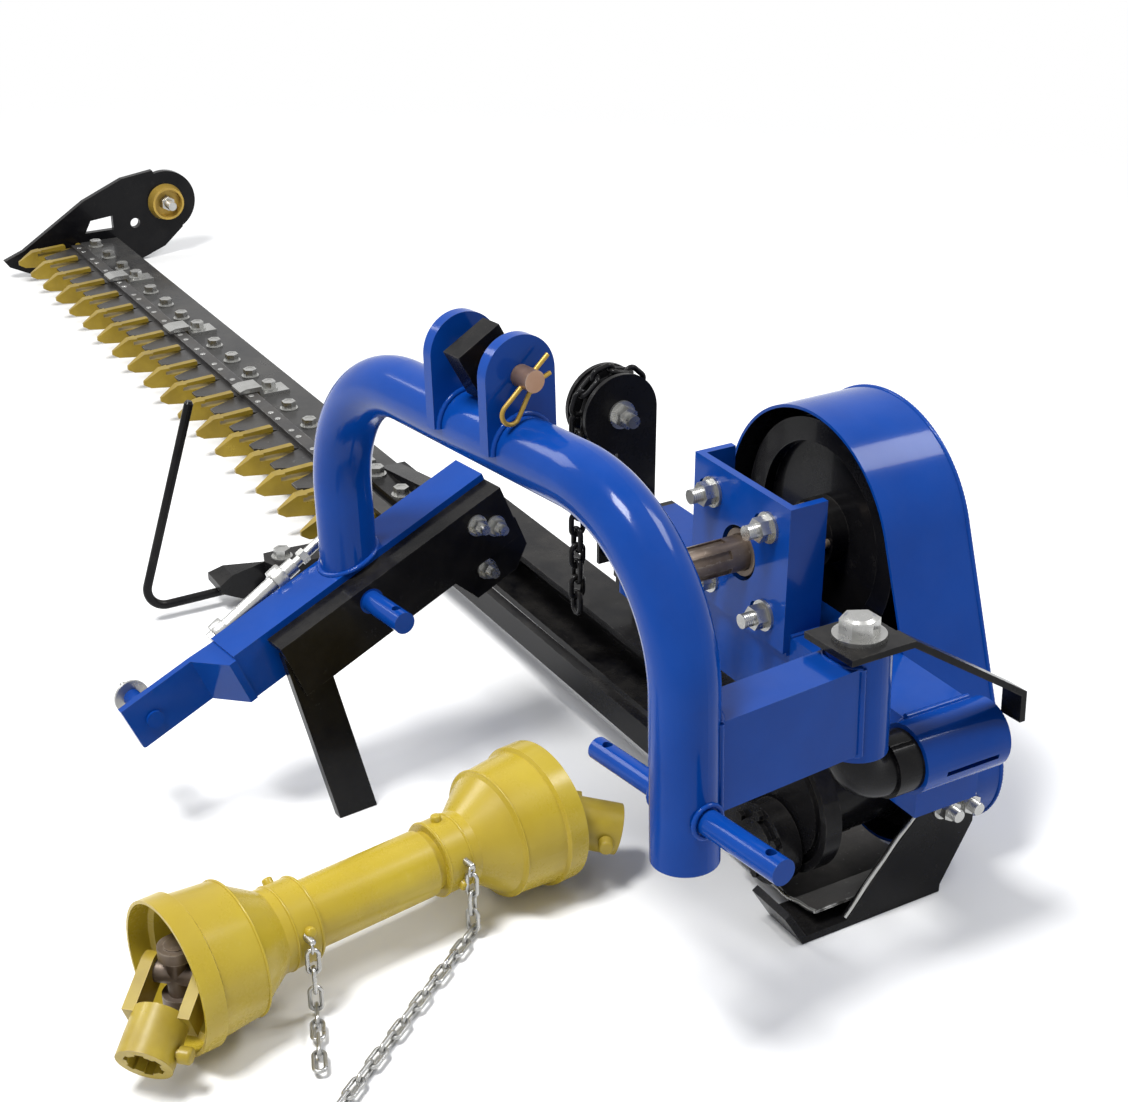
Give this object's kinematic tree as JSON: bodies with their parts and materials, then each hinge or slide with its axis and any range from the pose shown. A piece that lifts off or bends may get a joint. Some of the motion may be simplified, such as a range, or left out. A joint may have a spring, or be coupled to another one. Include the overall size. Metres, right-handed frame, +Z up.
{
  "type": "sickle bar mower",
  "caption": "Tractor sickle bar mower with arched hitch frame, belt drive, folding cutter bar with pointed guards and a loose guarded drive shaft.",
  "frame": {"origin": "middle of the part's footprint on the ground", "axes": "+X across the machine from the outer shoe towards the hitch, +Y rearward, +Z up"},
  "size_m": [2.4988, 0.873, 0.5811],
  "materials": {
    "blue_paint": "gloss",
    "black_paint": "satin",
    "zinc": "satin",
    "gold_coat": "satin",
    "worn_steel": "matte",
    "knife_steel": "satin",
    "belt_rubber": "matte",
    "yellow_plastic": "matte",
    "yellow_paint": "satin"
  },
  "bodies": {
    "hitch_frame": {"arch_tube": "blue_paint", "top_link_ears": "blue_paint", "pivot_arm": "blue_paint", "lower_hitch_pins": "blue_paint", "top_link_pin": "worn_steel", "pin_block": "black_paint", "hairpin_clip": "gold_coat", "side_arm": "blue_paint", "latch_bracket": "blue_paint", "latch_pin": "blue_paint", "latch_washers": "zinc", "stand_angle": "black_paint", "parking_leg": "black_paint", "tie_rod": "zinc", "hitch_bolts": "zinc"},
    "knuckle": {"knuckle_elbow": "black_paint", "pivot_plate": "black_paint", "pivot_bolt": "zinc"},
    "drive_unit": {"cross_beam": "blue_paint", "bearing_bracket": "blue_paint", "bearing_housing": "black_paint", "belt_cover": "blue_paint", "main_beam": "black_paint", "crank_housing": "black_paint", "sheave_bracket": "black_paint", "unit_bolts": "zinc", "lift_chain": "black_paint", "drive_belts": "belt_rubber", "skid": "black_paint", "base_pan": "worn_steel"},
    "input_drive": {"input_shaft": "worn_steel", "large_pulley": "black_paint"},
    "crank": {"crank_shaft": "worn_steel", "small_pulley": "black_paint", "flywheel": "black_paint"},
    "sheave": {"chain_sheave": "black_paint"},
    "pitman": {"pitman_rod": "black_paint", "big_end": "black_paint"},
    "cutter_bar": {"hinge_yoke": "black_paint", "inner_shoe": "black_paint", "bar_plate": "black_paint", "guards": "gold_coat", "bar_bolts": "zinc", "hold_down_clips": "zinc", "outer_shoe": "black_paint", "swath_cup": "gold_coat", "divider_rod": "black_paint"},
    "knife": {"knife_bar": "knife_steel", "knife_sections": "knife_steel"},
    "shaft_guard_rear": {"rear_guard": "yellow_plastic", "rear_chain": "zinc"},
    "shaft_guard_front": {"front_guard": "yellow_plastic", "front_chain": "zinc"},
    "shaft_rear": {"rear_shaft": "worn_steel"},
    "shaft_front": {"front_shaft": "worn_steel"},
    "rear_joint_cross": {"rear_cross": "worn_steel"},
    "front_joint_cross": {"front_cross": "worn_steel"},
    "rear_end_yoke": {"rear_yoke": "yellow_paint"},
    "front_end_yoke": {"front_yoke": "yellow_paint"}
  },
  "joints": [
    {"name": "breakaway_swing", "type": "hinge", "parent": "hitch_frame", "child": "knuckle", "pos_m": [1.1097, 0.168, 0.29489], "axis": [-0.0523, 0, 0.9986], "range_deg": [-40, 5]},
    {"name": "unit_roll", "type": "hinge", "parent": "knuckle", "child": "drive_unit", "pos_m": [1.11376, 0.266, 0.2176], "axis": [0, 1, 0], "range_deg": [-8, 15]},
    {"name": "bar_lift", "type": "hinge", "parent": "drive_unit", "child": "cutter_bar", "pos_m": [0.20375, 0.256, 0.07], "axis": [0, 1, 0], "range_deg": [-12, 88]},
    {"name": "knife_stroke", "type": "slide", "parent": "cutter_bar", "child": "knife", "axis": [1, 0, 0], "range_m": [-0.0381, 0.0381]},
    {"name": "pitman_stroke", "type": "slide", "parent": "drive_unit", "child": "pitman", "axis": [1, 0, 0], "range_m": [-0.0381, 0.0381]},
    {"name": "input_spin", "type": "hinge", "parent": "drive_unit", "child": "input_drive", "pos_m": [0.84376, 0.246, 0.297], "axis": [0, -1, 0], "continuous": true},
    {"name": "crank_spin", "type": "hinge", "parent": "drive_unit", "child": "crank", "pos_m": [0.97576, 0.266, 0.1], "axis": [0, -1, 0], "continuous": true},
    {"name": "sheave_spin", "type": "hinge", "parent": "drive_unit", "child": "sheave", "pos_m": [0.58176, 0.25, 0.35], "axis": [1, 0, 0], "continuous": true},
    {"name": "drive_shaft_away", "type": "slide", "parent": "hitch_frame", "child": "shaft_guard_rear", "axis": [0.1495, -0.9888, 0], "range_m": [0, 0.5]},
    {"name": "guard_telescope", "type": "slide", "parent": "shaft_guard_rear", "child": "shaft_guard_front", "axis": [0.1495, -0.9888, 0], "range_m": [0, 0.07]},
    {"name": "rear_shaft_spin", "type": "hinge", "parent": "shaft_guard_rear", "child": "shaft_rear", "pos_m": [0.8498, -0.07812, 0.07], "axis": [0.1495, -0.9888, 0], "continuous": true},
    {"name": "front_shaft_spin", "type": "hinge", "parent": "shaft_guard_front", "child": "shaft_front", "pos_m": [0.87971, -0.27588, 0.07], "axis": [0.1495, -0.9888, 0], "continuous": true},
    {"name": "rear_cross_turn", "type": "hinge", "parent": "shaft_rear", "child": "rear_joint_cross", "pos_m": [0.83634, 0.01086, 0.07], "axis": [0, 0, 1], "range_deg": [-6, 60]},
    {"name": "rear_yoke_turn", "type": "hinge", "parent": "rear_joint_cross", "child": "rear_end_yoke", "pos_m": [0.83634, 0.01086, 0.07], "axis": [0.8878, -0.4602, 0], "range_deg": [-10, 30]},
    {"name": "front_cross_turn", "type": "hinge", "parent": "shaft_front", "child": "front_joint_cross", "pos_m": [0.89317, -0.36486, 0.07], "axis": [0, 0, 1], "range_deg": [-60, 4]},
    {"name": "front_yoke_turn", "type": "hinge", "parent": "front_joint_cross", "child": "front_end_yoke", "pos_m": [0.89317, -0.36486, 0.07], "axis": [0.6871, 0.7266, 0], "range_deg": [-40, 2]}
  ],
  "couplings": [
    {"joint": "pitman_stroke", "follows": "knife_stroke", "ratio": 1},
    {"joint": "crank_spin", "follows": "input_spin", "ratio": 1.931},
    {"joint": "front_shaft_spin", "follows": "rear_shaft_spin", "ratio": 1}
  ]
}
